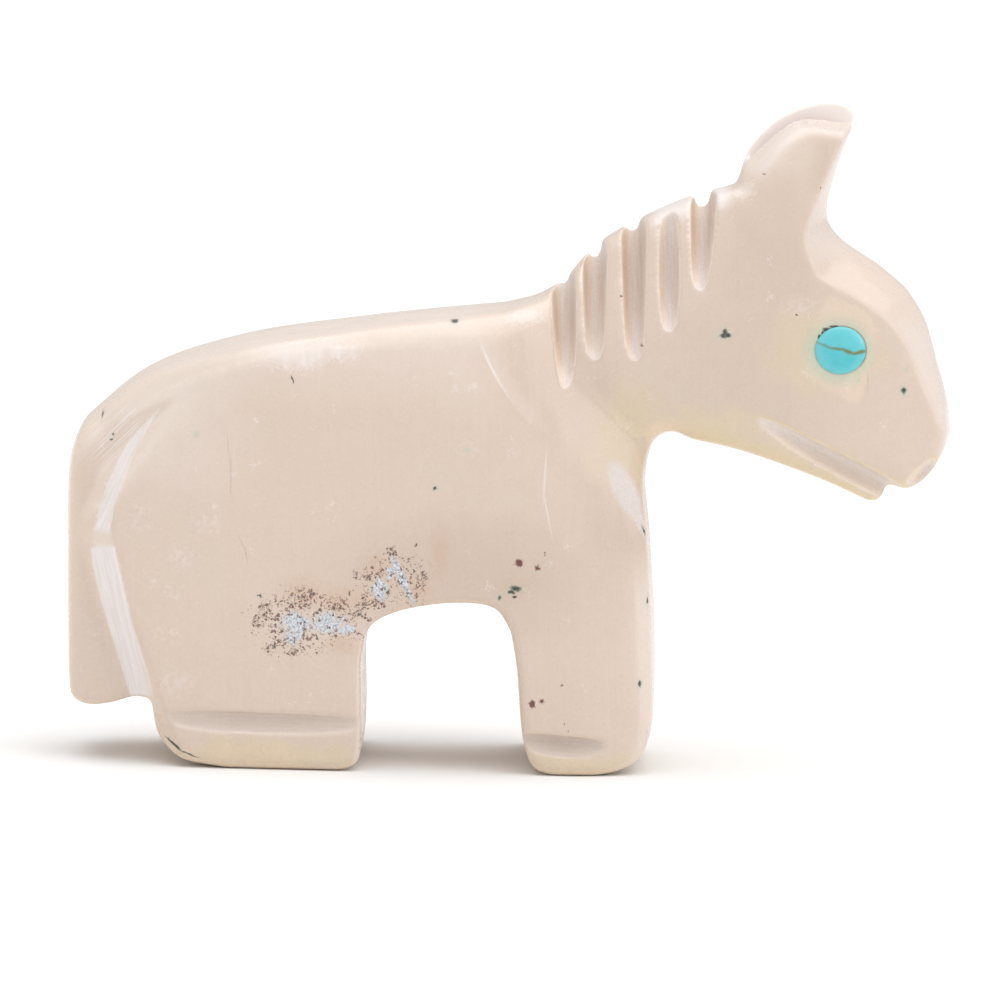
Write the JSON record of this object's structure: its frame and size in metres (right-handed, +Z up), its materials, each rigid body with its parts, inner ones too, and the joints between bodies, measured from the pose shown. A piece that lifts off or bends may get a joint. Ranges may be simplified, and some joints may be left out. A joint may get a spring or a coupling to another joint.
{
  "type": "carved horse figurine",
  "caption": "Small carved stone horse with grooved mane and set-in stone eyes; stands on its own feet as an ornament.",
  "frame": {"origin": "on the ground under the middle of the figure", "axes": "+X towards the nose, +Z up, the horse's right side at -Y"},
  "size_m": [0.0501, 0.0134, 0.0379],
  "materials": {
    "cream_stone": "polished",
    "turquoise": "polished"
  },
  "bodies": {
    "root": {"carving": "cream_stone", "eye_right": "turquoise", "eye_left": "turquoise"}
  },
  "joints": []
}
